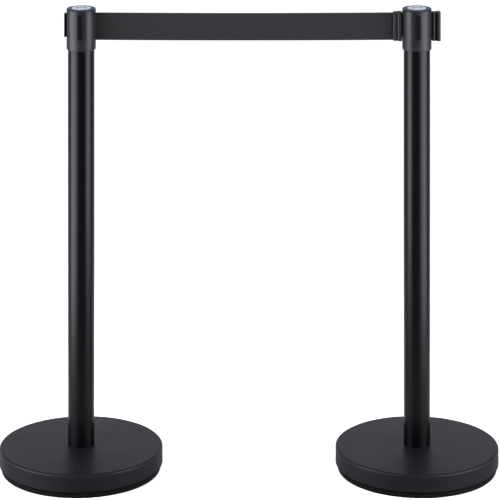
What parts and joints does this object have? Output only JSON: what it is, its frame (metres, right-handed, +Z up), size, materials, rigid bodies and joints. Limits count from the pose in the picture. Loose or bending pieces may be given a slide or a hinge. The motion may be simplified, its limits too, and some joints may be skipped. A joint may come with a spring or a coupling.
{
  "type": "retractable belt stanchion",
  "caption": "Round-based posts joined by a flat belt that pulls out of one head against a spring and hooks onto a rail on the next post's head, to mark off a queue.",
  "frame": {"origin": "On the floor, midway between the two post axes.", "axes": "+X from post A, whose belt is drawn out, to post B, which holds its clip; +Y to the back, away from the viewer; +Z up."},
  "size_m": [0.98, 0.32, 0.905],
  "materials": {
    "rubber": "matt moulded",
    "concrete": "rough cast",
    "base_paint": "fine matt powder coat",
    "zinc_steel": "zinc plated",
    "plug_metal": "turned",
    "tube_black": "semi-gloss powder coat",
    "head_black": "satin gloss moulded",
    "rail_black": "satin",
    "black_steel": "black oxide",
    "guide_plastic": "smooth moulded",
    "label_print": "printed label, dark blue ring on white",
    "cassette_plastic": "moulded nylon",
    "spindle_steel": "ground",
    "felt": "pressed felt",
    "spring_steel": "blued strip",
    "webbing": "woven polyester",
    "bronze": "sintered",
    "clip_plastic": "fine-grain moulded"
  },
  "bodies": {
    "post_a": {"post_a_floor_ring": "rubber", "post_a_base_weight": "concrete", "post_a_base_cover": "base_paint", "post_a_base_bolt": "zinc_steel", "post_a_base_washers": "zinc_steel", "post_a_foot_plug": "plug_metal", "post_a_tube": "tube_black", "post_a_head_sleeve": "head_black", "post_a_rail_left": "rail_black", "post_a_rail_front": "rail_black", "post_a_rail_back": "rail_black", "post_a_rail_screws": "zinc_steel", "post_a_grub_screws": "black_steel", "post_a_outlet_guide": "guide_plastic", "post_a_top_cap": "head_black", "post_a_cap_label": "label_print", "post_a_cassette_frame": "cassette_plastic", "post_a_cassette_lid": "cassette_plastic", "post_a_lid_screws": "zinc_steel", "post_a_spindle": "spindle_steel", "post_a_spindle_fixings": "zinc_steel", "post_a_drag_washer": "felt", "post_a_mainspring": "spring_steel", "post_a_belt": "webbing"},
    "spool_a": {"post_a_spool": "cassette_plastic", "post_a_spool_bushes": "bronze", "post_a_spring_cup": "zinc_steel", "post_a_belt_coil": "webbing"},
    "post_b": {"post_b_floor_ring": "rubber", "post_b_base_weight": "concrete", "post_b_base_cover": "base_paint", "post_b_base_bolt": "zinc_steel", "post_b_base_washers": "zinc_steel", "post_b_foot_plug": "plug_metal", "post_b_tube": "tube_black", "post_b_head_sleeve": "head_black", "post_b_rail_left": "rail_black", "post_b_rail_front": "rail_black", "post_b_rail_back": "rail_black", "post_b_rail_screws": "zinc_steel", "post_b_grub_screws": "black_steel", "post_b_outlet_guide": "guide_plastic", "post_b_top_cap": "head_black", "post_b_cap_label": "label_print", "post_b_cassette_frame": "cassette_plastic", "post_b_cassette_lid": "cassette_plastic", "post_b_lid_screws": "zinc_steel", "post_b_spindle": "spindle_steel", "post_b_spindle_fixings": "zinc_steel", "post_b_drag_washer": "felt", "post_b_mainspring": "spring_steel", "post_b_belt": "webbing"},
    "clip_a": {"post_a_clip_body": "clip_plastic", "post_a_clip_pin": "spindle_steel"},
    "spool_b": {"post_b_spool": "cassette_plastic", "post_b_spool_bushes": "bronze", "post_b_spring_cup": "zinc_steel", "post_b_belt_coil": "webbing"},
    "clip_b": {"post_b_clip_body": "clip_plastic", "post_b_clip_pin": "spindle_steel"}
  },
  "joints": [
    {"name": "post_spacing", "type": "slide", "parent": "post_a", "child": "post_b", "axis": [1, 0, 0], "range_m": [-0.33, 1.32], "deforming": ["post_a_belt"]},
    {"name": "spool_a_turn", "type": "hinge", "parent": "post_a", "child": "spool_a", "pos_m": [-0.33, 0, 0.8686], "axis": [0, 0, 1], "range_deg": [-1340, 5350], "deforming": ["post_a_mainspring"]},
    {"name": "clip_a_lift", "type": "slide", "parent": "post_b", "child": "clip_a", "axis": [0, 0, 1], "range_m": [0, 0.058]},
    {"name": "belt_b_pull", "type": "slide", "parent": "post_b", "child": "clip_b", "axis": [1, 0, 0], "range_m": [0, 1.95], "stiffness_N_per_m": 1, "springref_m": -5, "deforming": ["post_b_belt"]},
    {"name": "spool_b_turn", "type": "hinge", "parent": "post_b", "child": "spool_b", "pos_m": [0.33, 0, 0.8686], "axis": [0, 0, 1], "range_deg": [0, 7885], "deforming": ["post_b_mainspring"]}
  ],
  "couplings": [
    {"joint": "spool_a_turn", "follows": "post_spacing", "rad_per_m": 70.5},
    {"joint": "spool_b_turn", "follows": "belt_b_pull", "rad_per_m": 70.5}
  ]
}
